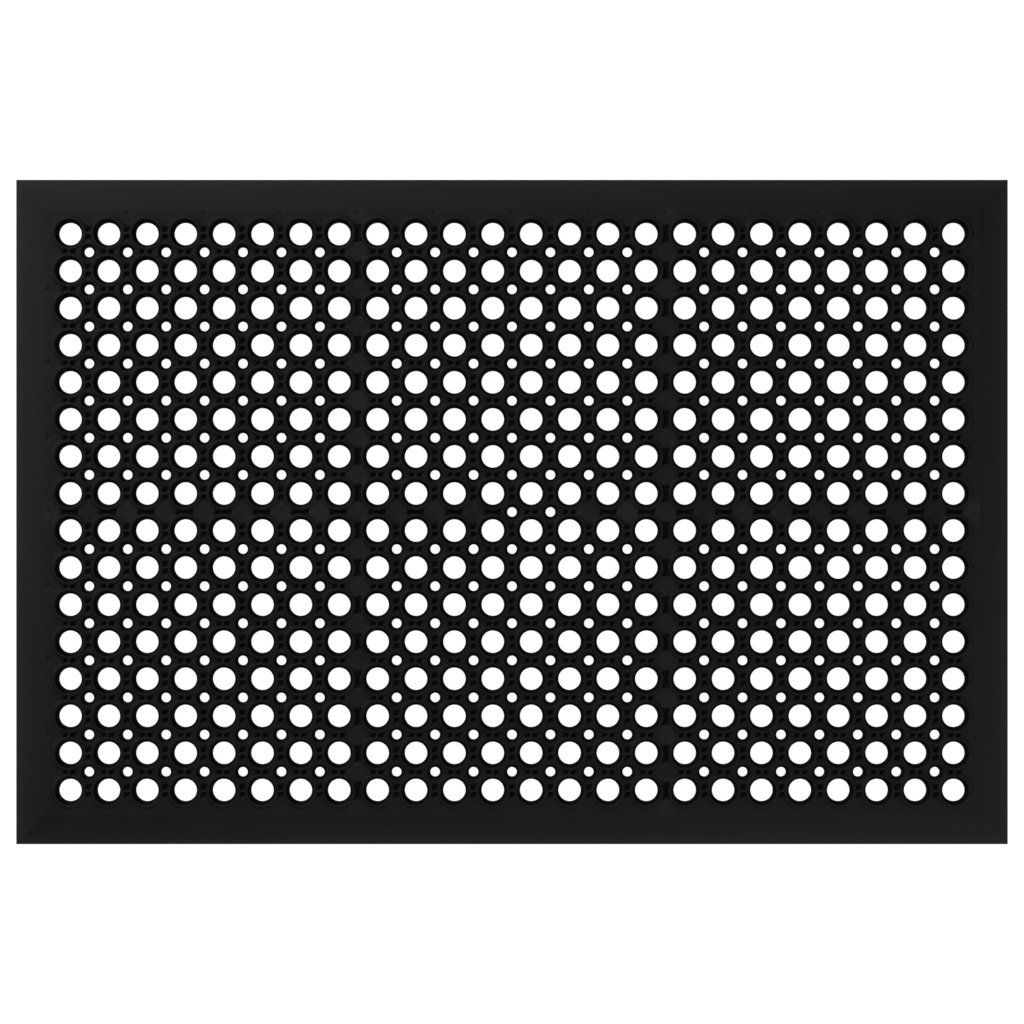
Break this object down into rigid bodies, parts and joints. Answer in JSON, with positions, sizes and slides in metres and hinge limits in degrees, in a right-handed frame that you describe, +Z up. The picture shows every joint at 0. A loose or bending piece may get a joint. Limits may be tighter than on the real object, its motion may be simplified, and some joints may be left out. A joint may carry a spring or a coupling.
{
  "type": "door mat",
  "caption": "Rectangular black rubber ring mat with open drainage rings joined by a ribbed web, small holes between the rings, and a bevelled border.",
  "frame": {"origin": "middle of the underside, on the floor", "axes": "+X along the mat's long side, +Y along its short side, +Z up out of the tread"},
  "size_m": [0.9, 0.603, 0.012],
  "materials": {
    "field_rubber": "satin moulded black rubber",
    "border_rubber": "satin moulded black rubber, smooth bevel"
  },
  "bodies": {
    "root": {"ring_field_front_left": "field_rubber", "ring_field_front_middle": "field_rubber", "ring_field_front_right": "field_rubber", "ring_field_back_left": "field_rubber", "ring_field_back_middle": "field_rubber", "ring_field_back_right": "field_rubber", "border_front": "border_rubber", "border_back": "border_rubber", "border_left": "border_rubber", "border_right": "border_rubber"}
  },
  "joints": []
}
